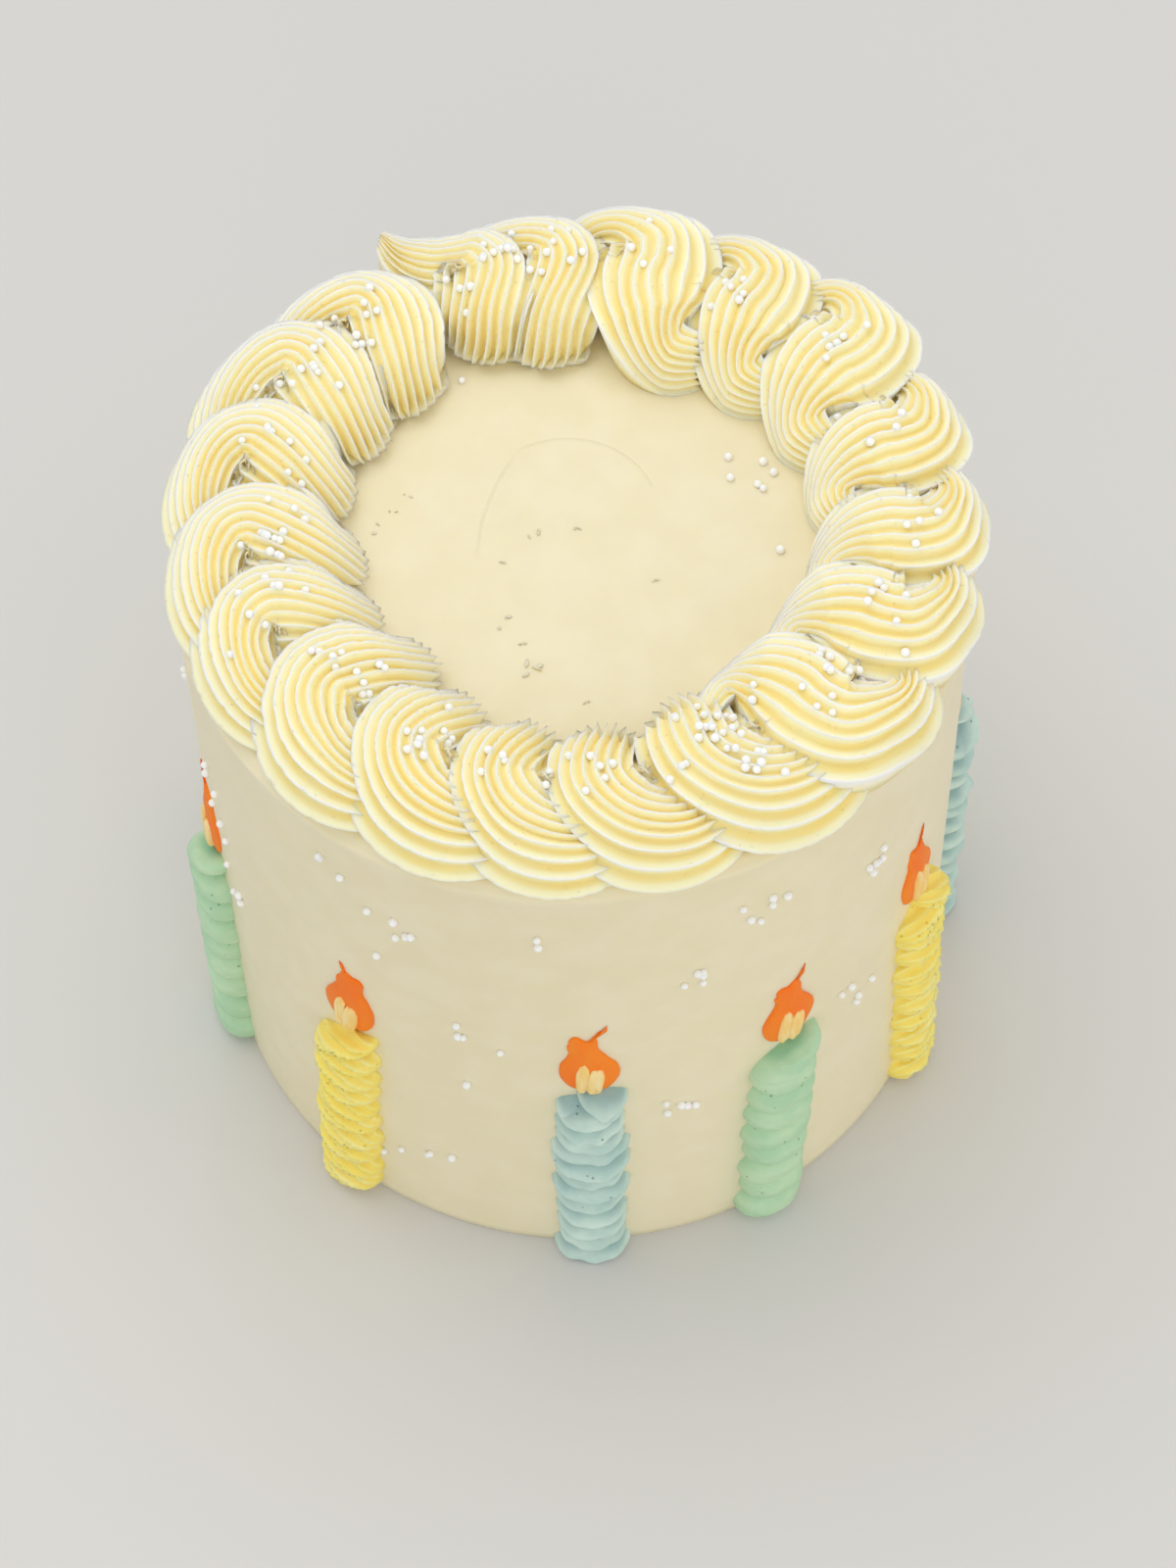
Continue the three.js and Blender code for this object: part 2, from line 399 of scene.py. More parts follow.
# %% Dips, lip, hollows and nicks
DIP_DEPTH = 0.35
LIP_SIZE = 0.5
LIP_REACH = 3
HOLLOW_DEPTH = 0.3
NICK_DEPTH = 0.4
# Nicks on the top: place and radius in millimetres, and how deep, times NICK_DEPTH.
NICKS = [(-9, 4, 1.6, 0.5), (-17, -4, 1.2, 0.3), (0, 5, 1.2, 0.3), (-17, -20, 1.4, 0.4),
         (-9, -35, 2.0, 0.8), (3, -44, 0.9, 0.5), (-44, 13, 1.0, 0.5), (-41, 17, 0.9, 0.4),
         (-48, 7, 1.2, 0.4), (20, -9, 1.3, 0.3), (-12, -28, 1.2, 0.3)]


def smoothed_by_hand(places):
    """The body's points with the marks of the spatula."""
    rng = np.random.default_rng(3)
    x, y, z = places.T
    radius = np.hypot(x, y)
    bearing = np.arctan2(y, x)
    on_wall = (radius > CAKE_RADIUS - 0.5) & (z > 2)
    dips = DIP_DEPTH * wobble(bearing * 3 + 2 * np.sin(bearing), rng) * wobble(z / 22, rng)
    rise = np.exp(-((z - CAKE_TOP + LIP_REACH) / LIP_REACH) ** 2)
    lip = LIP_SIZE * rise * (1 + 0.6 * wobble(bearing * 9, rng))
    grown = np.where(on_wall, 1 + (dips + lip) / CAKE_RADIUS, 1)
    on_top = (z > CAKE_TOP - 0.1) & (radius < CAKE_RADIUS - 6)
    hollow = HOLLOW_DEPTH * wobble(x / 18, rng) * wobble(y / 18, rng) - 0.2
    for nick_x, nick_y, size, deep in NICKS:
        away = np.hypot(x - nick_x, (y - nick_y) * 0.8) / size
        hollow = hollow - NICK_DEPTH * deep * np.exp(-away**2)
    return np.column_stack([x * grown, y * grown, z + np.where(on_top, hollow, 0)])


body_mesh = spun("cake_body", cake_profile(), SPIN_STEPS)
set_points(body_mesh, smoothed_by_hand(points_of(body_mesh) / MM))
print(f"spun body: {len(body_mesh.polygons)} faces")

# %% [markdown]
# ## The finish of the coat
# Two ivory shades drift into each other over a few centimetres, under a finer, paler
# mottling. The strokes of the blade and the two arcs that it drew on the top are too
# shallow for points of their own, so they are bump.

# %% The colour and the marks of the coat
ARC_WIDTH = 0.5


def coat_paint(place):
    deep = place.noise(60, 1.0).between(0.3, 0.7)
    fine = place.noise(6, 3.0).between(0.35, 0.7)
    body = deep.mix(colour(237, 226, 188), colour(240, 229, 193))
    return (fine * 0.35).mix(body, colour(246, 236, 206))


def arc_line(place, centre_x, centre_y, radius):
    """1 on a circle drawn on the top of the cake, and 0 away from it, in millimetres."""
    x = place.node("ShaderNodeSeparateXYZ", {0: place}) / MM
    y = place.node("ShaderNodeSeparateXYZ", {0: place}, out=1) / MM
    away = ((x - centre_x) ** 2 + (y - centre_y) ** 2) ** 0.5 - radius
    line = 1 - place.math("ABSOLUTE", away).between(0, ARC_WIDTH)
    return SimpleNamespace(line=line, x=x, y=y)


def coat_relief(place):
    """Spatula strokes, and the two arcs left where the blade was lifted off the top."""
    strokes = place.noise(14, 3.0, 0.6, stretch=(1, 1, 3))
    long_arc = arc_line(place, 35.1, -4.2, 58.6)
    long_mark = long_arc.line * long_arc.y.between(-6, 4) * (1 - long_arc.y.between(29, 31))
    long_mark = long_mark * (1 - long_arc.x.between(0, 5))
    short_arc = arc_line(place, -1.4, 10.3, 22.4)
    short_mark = short_arc.line * short_arc.y.between(16, 19) * short_arc.x.between(-13, -11)
    marks = (long_mark + short_mark) * place.noise(6, 1.0).between(0.2, 0.5)
    return strokes * 0.6 + place.noise(2.5, 2.0) * 0.2 + marks * 0.45


smooth_icing = icing("smooth_buttercream", coat_paint, coat_relief, bump_mm=0.35,
                     roughness=0.42, scatter=0.3, depth_mm=4.0)

# %% [markdown]
# ## Torn flakes
# Beside each nick the lifted blade left a few flakes standing. Each is a ball with few
# faces, squashed, turned and roughened, and it lies half sunk in the top.

# %% Flakes, and the finished body
# How long, wide and high a flake may be, against the size of its nick.
FLAKE_SIZES = [(0.3, 0.7), (0.15, 0.35), (0.1, 0.22)]
FLAKE_SPREAD = 0.8
FLAKE_ROUGHNESS = 0.06


def add_flakes(mesh):
    rng = np.random.default_rng(5)
    bm = bmesh.new()
    bm.from_mesh(mesh)
    for nick_x, nick_y, size, _ in NICKS:
        for _ in range(int(1 + 1.5 * size)):
            turn = Matrix.Rotation(rng.uniform(0, 2 * math.pi), 4, "Z")
            spread = rng.normal(0, FLAKE_SPREAD * size, 2)
            spot = Vector((nick_x + spread[0], nick_y + spread[1], CAKE_TOP - 0.1)) * MM
            shape = Matrix.Diagonal([rng.uniform(*limits) for limits in FLAKE_SIZES] + [1])
            flake = Matrix.Translation(spot) @ turn @ shape
            verts = bmesh.ops.create_icosphere(bm, subdivisions=2, radius=MM * size,
                                               matrix=flake)["verts"]
            for vert in verts:
                vert.co += Vector(rng.normal(0, FLAKE_ROUGHNESS * MM, 3))
    bm.to_mesh(mesh)
    bm.free()


add_flakes(body_mesh)
cake = add_piece("smooth_cake", body_mesh, smooth_icing, ["cake"])
print(f"cake body: {len(body_mesh.polygons)} faces")

# %% [markdown]
# ## The rope border
# Nineteen swirls lie round the rim, each covering the tail of the one before. The baker
# starts at the inner edge, pulls outwards over a crest and curls round to the side. Some
# start with a turn of the nozzle instead, which makes an S. Both are lists of stations:
# outwards, along the ring, half width, height and the height of the outer edge.

# %% Stations of a swirl
RING_RADIUS = 77
RIDGES = 10
RIDGE_DEPTH = 2.1
SIDES_PER_RIDGE = 12
DOME_SIDES = RIDGES * SIDES_PER_RIDGE
UNDERSIDE = 8
ROPE_SIDES = DOME_SIDES + UNDERSIDE
SWIRL_RINGS = 110
# A plain swirl at the back and left.
OPEN_CURL = [(-22, 6.5, 12.3, 4, 2), (-19, 5.5, 12.8, 9, 4), (-15, 4.2, 13.3, 14, 8),
             (-10, 2.2, 14, 17.5, 12), (-4, -0.4, 14.8, 19.5, 13), (2, -2.0, 14.8, 20.5, 12),
             (7.8, 0, 13.8, 20, 8), (11.2, 6, 12.2, 18.5, 4), (11.8, 13, 11.2, 16.5, 3),
             (10.4, 19, 10.4, 14, 3), (7.4, 23.5, 9.8, 12, 3), (3.2, 26.5, 9, 10, 3)]
# A plain swirl at the front, which turns tighter about a place nearer the middle.
TIGHT_CURL = [(-22.5, 1.5, 11.8, 4, 2), (-19.5, 1, 12.4, 9, 4), (-16, 0.2, 13, 14, 8),
              (-12, -1.2, 13.8, 17.5, 12), (-7.5, -2.5, 14.4, 19.5, 13),
              (-2.2, -2.8, 14.6, 20.5, 12), (3.2, 0, 14.2, 20, 8), (7, 5.2, 14, 18.5, 4),
              (8.2, 11.8, 13.5, 16.5, 3), (6.7, 18, 12.8, 14, 3), (3.2, 22.5, 11.5, 12, 3),
              (-2, 25, 10, 10, 3)]
# The last swirl ends free, in a peak that stands up where the nozzle was pulled away.
FREE_TAIL = [(10.8, 4.5, 11.5, 17, 4), (12.8, 9, 11, 15, 3), (15.3, 13, 9.5, 14, 4),
             (18.8, 17, 6.5, 13, 6), (23, 20.5, 2.4, 13, 10)]
# An S starts along the edge of the swirl before it: its left and right edges there, then
# height and edge height. After that it bends about one centre: bearing, reach and heights.
S_START = [((-18, -17), (-12, -15), 13, 11), ((-20.8, -7.5), (-11.5, -13.5), 15.5, 13),
           ((-18.8, 1.5), (-9, -14.5), 17.5, 14), ((-12.5, 9.5), (-5.5, -15.5), 19.5, 15),
           ((-3.5, 14), (-1, -16.5), 20.5, 15)]
BEND = (5.5, 14)
BEND_STEPS = [(262, 15.4, 20.5, 14), (288, 14, 20, 12), (318, 10.6, 18.5, 8),
              (352, 8.8, 16.5, 4), (28, 7.8, 14.5, 3), (70, 7.2, 12, 3), (110, 6.6, 10, 3)]
# How many stations it takes to bring the start back to its usual distance.
HELD_STATIONS = 5


def steps_between(edges):
    """Stations half way between two edges, and as wide as the edges are apart."""
    return [((left[0] + right[0]) / 2, (left[1] + right[1]) / 2, math.dist(left, right) / 2,
             height, edge) for left, right, height, edge in edges]


def steps_about(centre, steps):
    """Stations about a turning centre, as wide as they are far from it."""
    rows = []
    for bearing, reach, height, edge in steps:
        turn = math.radians(bearing)
        rows.append((centre[0] + reach * math.cos(turn), centre[1] + reach * math.sin(turn),
                     reach, height, edge))
    return rows


def swirl_stations(hook, tight, size, held_back, last):
    """Stations as (outwards, along the ring, up, half width, height, outer edge height)."""
    plain = np.array(OPEN_CURL) * (1 - tight) + np.array(TIGHT_CURL) * tight
    double = np.array(steps_between(S_START) + steps_about(BEND, BEND_STEPS))
    rows = (plain * (1 - hook) + double * hook) * size
    rows[:, 0] += held_back * np.clip(1 - np.arange(len(rows)) / HELD_STATIONS, 0, 1)
    if last:
        rows[-len(FREE_TAIL):] = FREE_TAIL
    return np.insert(rows, 2, 0.0, axis=1)


# %% [markdown]
# ## The section of a swirl
# The rope spreads as it lands, so its section is a dome on a flat underside, with its left
# and right edges at heights of their own. Where an S starts thin, the section rounds over
# more on its right. The outward directions tell the valleys which way to sink in.

# %% A dome across the rope
DOME_POWER = 2.2


def dome(u, wide, high, edge, narrow):
    """A section's points and outward directions, u from 1 on its left to -1."""
    flat = np.abs(u) ** DOME_POWER
    steep = DOME_POWER * np.abs(u) ** (DOME_POWER - 1)
    slope = (high - edge) * steep * np.sign(u) / wide
    turn = np.clip((u + 1) / 2, 0, 1) ** 0.8 * math.pi / 2
    side = (1 - narrow) * u + narrow * (2 * np.sin(turn) - 1)
    up = (1 - narrow) * (high - (high - edge) * flat) + narrow * high * np.cos(turn)
    out = unit(np.column_stack([slope, np.ones_like(u)]))
    round_out = np.column_stack([np.sin(turn), np.cos(turn)])
    out = unit((1 - narrow)[:, None] * out + narrow[:, None] * round_out)
    return side * wide, up, out


def rope_layout(template):
    """For each point of the straight rope: its ring, and where it is across the dome."""
    straight = points_of(template)
    ring = np.rint(straight[:, 2] * SWIRL_RINGS).astype(int)
    skin = np.hypot(straight[:, 0], straight[:, 1]) > 0.5
    bearing = np.arctan2(straight[:, 1], straight[:, 0])
    place = np.rint(bearing / (2 * math.pi) * ROPE_SIDES) % ROPE_SIDES
    over = place <= DOME_SIDES
    under = (place - DOME_SIDES) / UNDERSIDE
    u = np.where(over, 1 - 2 * place / DOME_SIDES, 2 * under - 1)
    return SimpleNamespace(ring=ring, skin=skin, over=over, u=u)


rope_template = straight_rope(ROPE_SIDES, SWIRL_RINGS)
rope = rope_layout(rope_template)
print(f"straight rope: {len(rope_template.polygons)} faces")

# %% [markdown]
# ## Laying the rope
# Star ridges run along the dome, each with a strength of its own, and wander and tear a
# little. Where the path turns, the ridges on the inside crowd together about the turning
# centre, and none may cross it, so distances on that side are pressed in before they get
# there. At the start each ridge has its own tip, like the fingers of a hand.

# %% Laying the rope along a path
RIDGE_WANDER = 0.035
RIDGE_SHARPNESS = 0.8
RIDGE_STRENGTH = (0.85, 1.15)
# Edge heights against the height of the dome: on the left, inside a turn, and the most.
LEFT_EDGE = 0.7
INNER_EDGE = 0.85
HIGHEST_EDGE = 0.88
# Ridges crowd once the half width is this share of the turn's radius, and the power that
# presses them in.
CROWDING = 0.4
PRESSING = 6
# An S is round where it starts: up to this half width, and for this distance.
ROUND_WIDTH = 13.5
ROUND_LENGTH = 25
UNDER_DEPTH = 0.6


def laid_swirl(path, hook, rng, ragged_mm):
    """The straight rope laid as a swirl. Returns its points and its crests."""
    ring, u, over, skin = rope.ring, rope.u, rope.over, rope.skin
    far, turn = path.distance[ring], path.turn[ring]
    wide, high = path.wide[ring], path.high[ring]
    u_wavy = u + RIDGE_WANDER * wobble(far / 5 + u * 3, rng) * (1 - u**2)
    phase = (1 - u) / 2 * (RIDGES - 2 * hook)
    ridge = np.rint(phase).astype(int)
    crest = (1 - np.abs(np.sin(phase * math.pi)) ** RIDGE_SHARPNESS) * over
    strength = rng.uniform(*RIDGE_STRENGTH, RIDGES + 1)[ridge]

    room = 1 / np.maximum(np.abs(turn), 1e-4)
    inner = u * turn > 0
    crowded = np.clip((wide / room - CROWDING) / (1 - CROWDING), 0, 1) * inner
    edge = np.where(u < 0, path.edge[ring], LEFT_EDGE * high)
    edge = np.maximum(edge, INNER_EDGE * high * crowded)
    edge = np.minimum(edge, HIGHEST_EDGE * high)
    narrow = np.clip((ROUND_WIDTH - wide) / 7, 0, 1) * (far < ROUND_LENGTH) * hook
    side, up, out = dome(u_wavy, wide, high, edge, narrow)

    fade = np.minimum(1, far / 10 + 0.45) * np.minimum(1, wide / 7)
    torn = np.clip(wobble(far * 1.9 + ridge * 11, rng), 0, 1) * ragged_mm * 1.5 * crest**2
    inward = ((1 - crest) * RIDGE_DEPTH * strength + torn) * fade * over
    inward = inward * np.minimum(1, room / wide + 0.25 * (1 - inner) + 0.25)
    side = side - inward * out[:, 0]
    up = np.where(over, up - inward * out[:, 1], -UNDER_DEPTH)
    folded = side / (1 + (np.abs(side) / room) ** PRESSING) ** (1 / PRESSING)
    side = np.where(inner, folded, side)

    tips = (1 - hook) * 8 * (0.15 - u**2) * np.exp(-far / 11)
    tips = tips + (5 - 3 * hook) * (crest - 0.5) * np.exp(-far / 5) * strength * over
    places = (path.centre[ring]
              + path.across[ring] * (side * skin)[:, None]
              + path.over[ring] * (up * skin)[:, None]
              - path.ahead[ring] * (tips * skin)[:, None])
    # Painted shade: where the ridges crowd into a pit by the turning centre, the points are
    # marked as lying low between ridges, so they take the deeper yellow.
    pit_shade = crowded * np.clip(1 - (room - np.abs(side)) / 6, 0, 1)
    return SimpleNamespace(places=places, crest=crest * skin * (1 - 0.8 * pit_shade))


# %% [markdown]
# ## The finish of the border
# The tops of the ridges are painted nearly white, a painted highlight, their flanks cream
# and the grooves a buttery yellow, painted shade. Where a point is on its ridge is noted
# while the rope is laid, so the colours follow every ridge.

# %% The colour of piped cream
# The ridges are painted whiter over these heights above the top of the cake, a painted highlight.
PAINTED_HIGHLIGHT_HEIGHTS = (1, 9)


def cream_paint(place):
    crest = attribute(place, "crest")
    patch = place.noise(9, 2.0).between(0.3, 0.7)
    # Painted shade: the grooves are painted a deep buttery yellow.
    groove_shade = patch.mix(colour(255, 228, 140), colour(255, 235, 166))
    flank = colour(255, 245, 204)
    height = place.node("ShaderNodeSeparateXYZ", {0: place}, out=2) / MM - CAKE_TOP
    # Painted highlight: the ridge tops are painted near white, and whiter the higher they stand.
    edge = height.between(*PAINTED_HIGHLIGHT_HEIGHTS).mix(colour(255, 246, 206), colour(255, 253, 242))
    return crest.between(0.5, 0.95).mix(crest.between(0.0, 0.45).mix(groove_shade, flank), edge)


def cream_relief(place):
    return place.noise(1.6, 3.0, 0.6) * 0.5 + pits(place, 2.6, 0.12) * -0.8


piped_cream = icing("piped_buttercream", cream_paint, cream_relief, bump_mm=0.25,
                    roughness=0.4, scatter=0.5, depth_mm=3.0)

# %% [markdown]
# ## Piping the swirls
# Each swirl is the same rope with other stations and another seed. Soft icing settles on
# what is under it, so nothing sinks far below the top of the cake, and past the rim it
# follows the rounded edge down.

# %% Nineteen swirls
# Each swirl: angle round the ring, hook, tightness, size, shift outwards, raggedness, and
# how far its start is held back from the middle of the cake. A hook of 1 makes an S.
SWIRLS = [
    (128.5, 0, 0, 1, 0, 0.2, 2), (145, 0, 0, 1.04, 1.5, 0.3, 2), (163.5, 0, 0, 1, 1, 0.1, 2),
    (182.5, 0, 0, 1.02, -1, 0.2, 0), (199.5, 0, 0.1, 1, -1, 0.4, 0),
    (219.5, 0, 0.6, 1.04, -1, 0.6, -3), (239.5, 0, 1, 1.03, 0.5, 0.6, 0),
    (258, 0, 1, 0.99, 1.5, 0.5, 0), (275.5, 0, 1, 1.0, 2, 0.1, 0),
    (296, 0, 1, 1.08, 2, 0.3, 0), (315.5, 1, 0, 1.12, 0, 0.2, 0),
    (336.5, 1, 0, 1.06, 0, 0.2, 0), (355.5, 1, 0, 0.98, 1.5, 0.1, 0),
    (14.5, 1, 0, 0.98, 2, 0.3, 0), (34.5, 1, 0, 1.05, 2.5, 0.3, 0),
    (54, 1, 0, 1.0, -0.5, 0.1, 0), (74, 1, 0, 1.08, -3.5, 0.1, 0),
    (92, 0, 0, 0.98, -2, 0.3, 2), (106, 0, 0, 1.0, -2, 0.2, 8),
]
# How far the border sinks in, and how far from the rim the cake starts to round off.
SINK = 0.5
ROUND_OFF = 4


def resting_height(places):
    """How high the cake is under each point, a little below its skin."""
    radius = np.hypot(places[:, 0], places[:, 1])
    past = np.clip(radius - (CAKE_RADIUS - ROUND_OFF), 0, ROUND_OFF)
    return CAKE_TOP - (SINK + ROUND_OFF) + np.sqrt(ROUND_OFF**2 - past**2)


swirl_pieces = []
for number, (angle, hook, tight, size, out, ragged, back) in enumerate(SWIRLS, start=1):
    rng = np.random.default_rng(100 + number)
    stations = swirl_stations(hook, tight, size, back, last=number == len(SWIRLS))
    swirl = laid_swirl(nozzle_path(stations, SWIRL_RINGS), hook, rng, ragged)
    laid = turned(swirl.places + [RING_RADIUS + out, 0, CAKE_TOP], angle)
    laid[:, 2] = np.maximum(laid[:, 2], resting_height(laid))
    mesh = rope_template.copy()
    mesh.name = f"swirl_mesh_{number:02d}"
    set_points(mesh, laid)
    set_attribute(mesh, "crest", swirl.crest)
    swirl_pieces.append(add_piece(f"piped_swirl_{number:02d}", mesh, piped_cream,
                                  [f"swirl_{number:02d}"]))
print(f"{len(swirl_pieces)} swirls of {len(mesh.polygons)} faces each")

# %% [markdown]
# ## Candles piped up the side
# The candles are icing too, piped straight onto the side of the cake from the base up. The
# mint and yellow ones are a rope laid in small loops, and the blue ones are a flat ribbon
# folded to and fro. Each is made flat first, with x round the cake, y outwards and z up,
# and then wrapped round the side.

# %% Wrapping a flat piece round the cake
BURIED = 0.8


def wrapped(places, angle, lean, height):
    """Flat points laid round the side of the cake, none below the base."""
    x, y, z = places.T
    turn = (x + lean * z / height) / CAKE_RADIUS
    radius = CAKE_RADIUS + np.maximum(y, -BURIED)
    return turned(np.column_stack([radius * np.cos(turn), radius * np.sin(turn),
                                   np.maximum(z, 0)]), angle)


def gathered(lumps, name, angle, lean, height):
    """One mesh of many reshaped balls, wrapped round the side of the cake."""
    mesh = joined(name, [lump.ball for lump in lumps])
    places = np.vstack([lump.places for lump in lumps])
    set_points(mesh, wrapped(places, angle, lean, height))
    set_attribute(mesh, "crest", np.concatenate([lump.crest for lump in lumps]))
    return mesh


# %% [markdown]
# ## Folds and loops
# From the front, one fold of the ribbon is a flat disc with a thin, drooping, wavy edge,
# and one loop of the rope is a fat lobe, smooth or with star ridges. Each is a ball whose
# points are moved by a formula, and a candle is a stack of them. Balls that run into each
# other look like icing that was pressed together while soft.

# %% The folds and loops that a candle is built from
FOLD_BALL = ball_mesh(72, 20)
LOOP_BALL = ball_mesh(72, 36)
DAB_BALL = ball_mesh(44, 36)
# How far a fold's front edge ripples up and down, ripples in and out, and hangs down.
FOLD_RIPPLE = 0.9
FOLD_RAGGEDNESS = 0.15
FOLD_DROOP = 2.0
EDGE_THINNING = 0.6


def ruffle(middle, half_width, depth, thick, tilt, rng, foot=0.0):
    """One flat fold of ribbon: a squashed ball with a thin, wavy front edge."""
    px, py, pz = points_of(FOLD_BALL).T
    front = np.clip(py, 0, 1)
    ripple = wobble(px * 5 + foot, rng, 6) * FOLD_RIPPLE * front
    edge = 1 + FOLD_RAGGEDNESS * wobble(px * 7 + foot, rng, 6)
    x = foot + half_width * px * (1 + 0.06 * wobble(pz * 2, rng))
    y = depth * py * edge
    z = middle + thick * pz * (1 - EDGE_THINNING * front**0.8) + ripple
    z = z + tilt * (x - foot) - FOLD_DROOP * front**2
    # Painted shade: away from its front edge, the back of a fold is marked to be painted darker,
    # as the shade between folds.
    unshaded = np.clip(front**1.5 + np.abs(px) ** 6, 0, 1)
    return SimpleNamespace(ball=FOLD_BALL, places=np.column_stack([x, y, z]), crest=unshaded)


def loop(plan, middle, tilt, rng, half_width, thick=None, foot=0.0):
    """One turn of rope, seen from the front as a fat lobe that may carry star ridges."""
    px, py, pz = points_of(LOOP_BALL).T
    thick = thick or plan["thick"]
    roll = np.arctan2(pz, py)
    ridges = np.abs(np.sin((roll + plan["slant"] * px) * plan["teeth"] / 2 + rng.uniform(0, 3)))
    crest = 1 - ridges**0.8
    lumps = 1 + plan["rough"] * wobble(px * 5 + pz * 4, rng, 6) * wobble(py * 5 - pz * 6, rng, 6)
    size = lumps - plan["ridge"] / thick * (1 - crest) * (1 - px**4)
    x = foot + half_width * np.sign(px) * np.abs(px) ** 0.8
    y = plan["depth"] * py * size
    z = middle + thick * np.sign(pz) * np.abs(pz) ** 0.9 * size + tilt * (x - foot)
    # Painted shade: the grooves between loops and between star ridges are marked to be painted
    # darker.
    unshaded = (1 - np.abs(pz) ** 4) * (crest if plan["ridge"] > 1 else 1)
    return SimpleNamespace(ball=LOOP_BALL, places=np.column_stack([x, y, z]), crest=unshaded)


# %% [markdown]
# ## The finishes of the candles
# Coloured icing is stiffer and drier than the border's, so little light passes through it
# and its surface is rough. It is streaked, because the colour is never stirred in fully,
# and painted darker in the grooves and in the air pits, which is painted shade.

# %% Blue, mint and yellow icing
def candle_paint(deep, pale, painted_shade_colour):
    """Coloured icing: streaks between two tones, and painted shade in the grooves and air pits.
    """
    def paint(place):
        streak = place.noise(7, 3.0, 0.6, stretch=(1, 1, 2)).between(0.3, 0.7)
        groove_shade = 1 - attribute(place, "crest").between(0.2, 0.75)
        air_pit_shade = pits(place, 3.6, 0.1)
        # Painted shade: the grooves and air pits are painted a darker colour.
        shadow = (air_pit_shade * 0.6 + groove_shade * 0.65).clamped()
        return shadow.mix(streak.mix(colour(*deep), colour(*pale)), colour(*painted_shade_colour))
    return paint


def candle_relief(place):
    streaks = place.noise(2.5, 4.0, 0.65, stretch=(1, 1, 2.5))
    return streaks * 0.9 + pits(place, 3.6, 0.1) * -1.0


# Each icing: a deep and a pale tone of its colour, streaked together, and a darker colour painted
# into its grooves and air pits as shade.
BLUES = [(184, 212, 202), (210, 230, 216), (132, 168, 168)]
MINTS = [(176, 215, 174), (198, 227, 187), (118, 184, 138)]
YELLOWS = [(255, 238, 122), (255, 246, 164), (253, 222, 84)]
CANDLE_FINISHES = {
    "blue": icing("blue_buttercream", candle_paint(*BLUES), candle_relief, bump_mm=0.45,
                  roughness=0.6, scatter=0.12, depth_mm=1.5),
    "mint": icing("mint_buttercream", candle_paint(*MINTS), candle_relief, bump_mm=0.4,
                  roughness=0.5, scatter=0.12, depth_mm=1.5),
    "yellow": icing("yellow_buttercream", candle_paint(*YELLOWS), candle_relief,
                    bump_mm=0.35, roughness=0.5, scatter=0.15, depth_mm=1.5),
}

# %% [markdown]
# ## Piping the candles
# The three icings take turns round the cake. Each fold or loop is a little wider, narrower
# or further to the side than the one under it, and tilts the other way, as a hand makes
# them. The top fold or loop is dragged up to one side, where the nozzle was pulled away.

# %% Twelve candles
CANDLE_KINDS = ["blue", "mint", "yellow"]
# Each candle: angle round the cake, height, and how far its top leans.
CANDLES = [(4, 96, 0), (31, 93, 2), (58, 96, -2), (85, 92, 1), (112, 94, -1), (138, 95, 2),
           (164, 93, 0), (195.5, 95, -1), (230, 90, 4), (270.5, 90, 0), (299, 89, 4),
           (333.5, 98, -5)]
LOOPED = {
    "mint": dict(loops=8, half_width=9.8, depth=8.2, thick=6.9, teeth=6, ridge=0.3, slant=0.6,
                 rough=0.08),
    "yellow": dict(loops=9, half_width=9.6, depth=8.4, thick=6.4, teeth=9, ridge=1.7, slant=0.7,
                   rough=0.16),
}
RUFFLES = 12
RUFFLE_HALF_WIDTH = 9.9
RUFFLE_DEPTH = 7.4
HAND_TILT = 0.06
# The candle whose rope ended in an extra knob at the top.
KNOBBED = 12


def looped_candle(kind, height, rng):
    plan = LOOPED[kind]
    pitch = (height - 10) / plan["loops"]
    lumps = []
    for turn in range(plan["loops"]):
        width = plan["half_width"] * rng.uniform(0.93, 1.04)
        lumps.append(loop(plan, 6 + pitch * turn, HAND_TILT * (-1) ** turn, rng, width,
                          foot=rng.uniform(-0.5, 0.5)))
    last = loop(plan, height - 6.5, tilt=0.5, rng=rng, half_width=9.4, thick=4.6)
    return lumps + [last]


def ribbon_candle(height, rng):
    pitch = (height - 4) / RUFFLES
    lumps = []
    for fold in range(RUFFLES):
        half_width = RUFFLE_HALF_WIDTH * rng.uniform(0.90, 1.04)
        depth = RUFFLE_DEPTH * rng.uniform(0.88, 1.08)
        lumps.append(ruffle(3.4 + pitch * fold, half_width, depth, pitch * 0.62,
                            HAND_TILT * (-1) ** fold, rng))
    lumps.append(ruffle(height - 6, half_width=8.6, depth=8.6, thick=2.6, tilt=0.28, rng=rng))
    last = ruffle(height - 1.5, half_width=6.4, depth=7.4, thick=1.8, tilt=-0.12, rng=rng,
                  foot=3.4)
    return lumps + [last]


for number, (angle, height, lean) in enumerate(CANDLES, start=1):
    rng = np.random.default_rng(200 + number)
    kind = CANDLE_KINDS[(number - 1) % len(CANDLE_KINDS)]
    lumps = ribbon_candle(height, rng) if kind == "blue" else looped_candle(kind, height, rng)
    if number == KNOBBED:
        lumps.append(loop(LOOPED[kind], height - 3, tilt=0.0, rng=rng, half_width=6.0,
                          thick=5.5, foot=4.5))
    mesh = gathered(lumps, f"candle_mesh_{number:02d}", angle, lean, height)
    add_piece(f"piped_candle_{number:02d}", mesh, CANDLE_FINISHES[kind],
              [f"candle_{number:02d}_{kind}"])
print(f"{len(CANDLES)} candles")

# %% [markdown]
# ## Flames
# Each flame is a smear of orange spread upwards with the tip of a palette knife, so it is
# thin, smooth and slightly domed, with a pointed top that flicks to one side. Two dabs of
# pale yellow on it are the bright heart. All of them are drops: flattened balls with an
# outline of their own.

